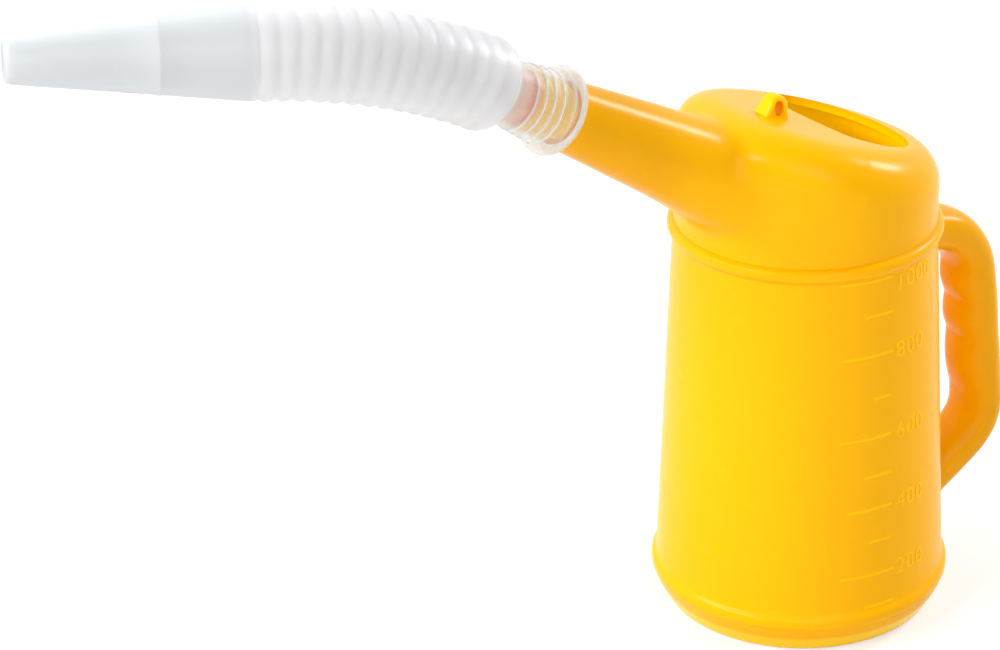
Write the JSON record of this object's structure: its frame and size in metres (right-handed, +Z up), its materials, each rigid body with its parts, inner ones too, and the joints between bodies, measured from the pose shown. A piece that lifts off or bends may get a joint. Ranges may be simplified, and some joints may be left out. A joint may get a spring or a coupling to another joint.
{
  "type": "oil pouring jug",
  "caption": "Plastic measuring jug with a side handle, a sloping top with a filler opening, and a rigid spout that carries a screwed-on flexible ribbed spout with a long nozzle.",
  "frame": {"origin": "centre of the flat underside", "axes": "+Z up, +X towards the handle, the spout points to -X, the graduations face -Y"},
  "size_m": [0.3711, 0.1076, 0.2676],
  "materials": {
    "yellow_polyethylene": "satin blow-moulded polyethylene",
    "red_plastic": "plain moulded plastic",
    "frosted_polyethylene": "frosted translucent natural polyethylene"
  },
  "bodies": {
    "jug": {"jug_body": "yellow_polyethylene"},
    "strainer": {"strainer": "red_plastic"},
    "collar": {"spout_collar": "frosted_polyethylene", "hose_1": "frosted_polyethylene"},
    "hose_lower": {"hose_2": "frosted_polyethylene"},
    "hose_middle": {"hose_3": "frosted_polyethylene"},
    "hose_upper": {"hose_4": "frosted_polyethylene"},
    "nozzle": {"nozzle": "frosted_polyethylene"}
  },
  "joints": [
    {"name": "spout_travel", "type": "slide", "parent": "jug", "child": "strainer", "axis": [-0.859, 0, 0.512], "range_m": [0, 0.0109]},
    {"name": "spout_screw", "type": "hinge", "parent": "strainer", "child": "collar", "pos_m": [0, 0, 0.1506], "axis": [-0.859, 0, 0.512], "range_deg": [0, 1080]},
    {"name": "hose_bend_1", "type": "hinge", "parent": "collar", "child": "hose_lower", "pos_m": [-0.14018, 0.00035, 0.23372], "axis": [-0.3434, -0.7417, -0.5761], "range_deg": [-30, 22], "stiffness_Nm_per_rad": 0.6, "deforming": ["hose_1"]},
    {"name": "hose_side_1", "type": "hinge", "parent": "hose_lower", "child": "hose_middle", "pos_m": [-0.15891, 0.00261, 0.24197], "axis": [0.1632, -0.6512, 0.7411], "range_deg": [-20, 20], "stiffness_Nm_per_rad": 0.6, "deforming": ["hose_2"]},
    {"name": "hose_bend_2", "type": "hinge", "parent": "hose_middle", "child": "hose_upper", "pos_m": [-0.1754, 0.0062, 0.24718], "axis": [-0.3434, -0.7417, -0.5761], "range_deg": [-30, 22], "stiffness_Nm_per_rad": 0.6, "deforming": ["hose_3"]},
    {"name": "hose_side_2", "type": "hinge", "parent": "hose_upper", "child": "nozzle", "pos_m": [-0.19473, 0.01221, 0.25096], "axis": [-0.1039, -0.5797, 0.8082], "range_deg": [-20, 20], "stiffness_Nm_per_rad": 0.6, "deforming": ["hose_4"]}
  ],
  "couplings": [
    {"joint": "spout_travel", "follows": "spout_screw", "m_per_rad": 0.00057296},
    {"joint": "hose_bend_2", "follows": "hose_bend_1", "ratio": 1},
    {"joint": "hose_side_2", "follows": "hose_side_1", "ratio": 1}
  ]
}
